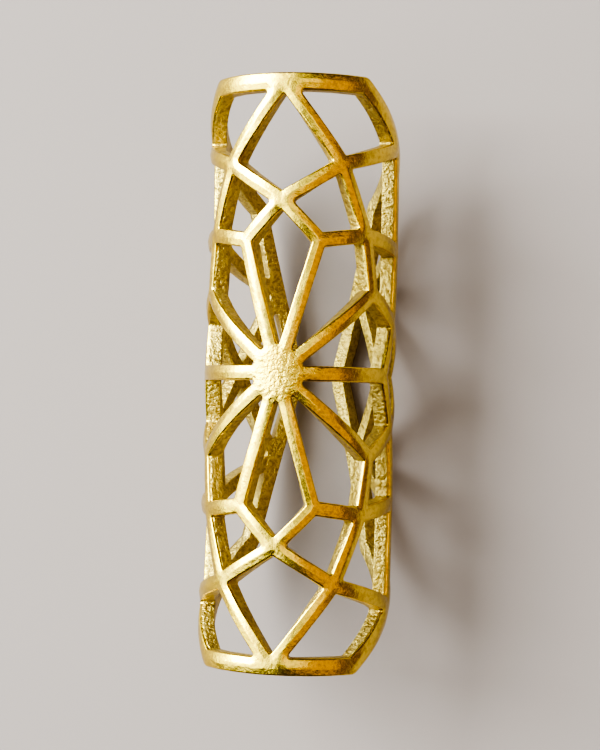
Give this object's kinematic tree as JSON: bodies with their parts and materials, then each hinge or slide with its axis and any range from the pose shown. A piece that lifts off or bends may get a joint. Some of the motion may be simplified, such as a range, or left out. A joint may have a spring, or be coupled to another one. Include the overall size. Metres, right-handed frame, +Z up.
{
  "type": "dreadlock bead",
  "caption": "Openwork cast brass cuff bead for a dreadlock: a tube pierced with a rayed star, with a narrow gap along its back that flares at both ends.",
  "frame": {"origin": "on the surface that the bead rests on, under the middle of the bead", "axes": "+Y along the tube, +Z up through the hub of the star, with the gap below"},
  "size_m": [0.011, 0.0332, 0.0109],
  "materials": {
    "cast_brass": "tumble polished outside, grainy as cast on the pierced walls and inside"
  },
  "bodies": {
    "root": {"openwork_cuff": "cast_brass"}
  },
  "joints": []
}
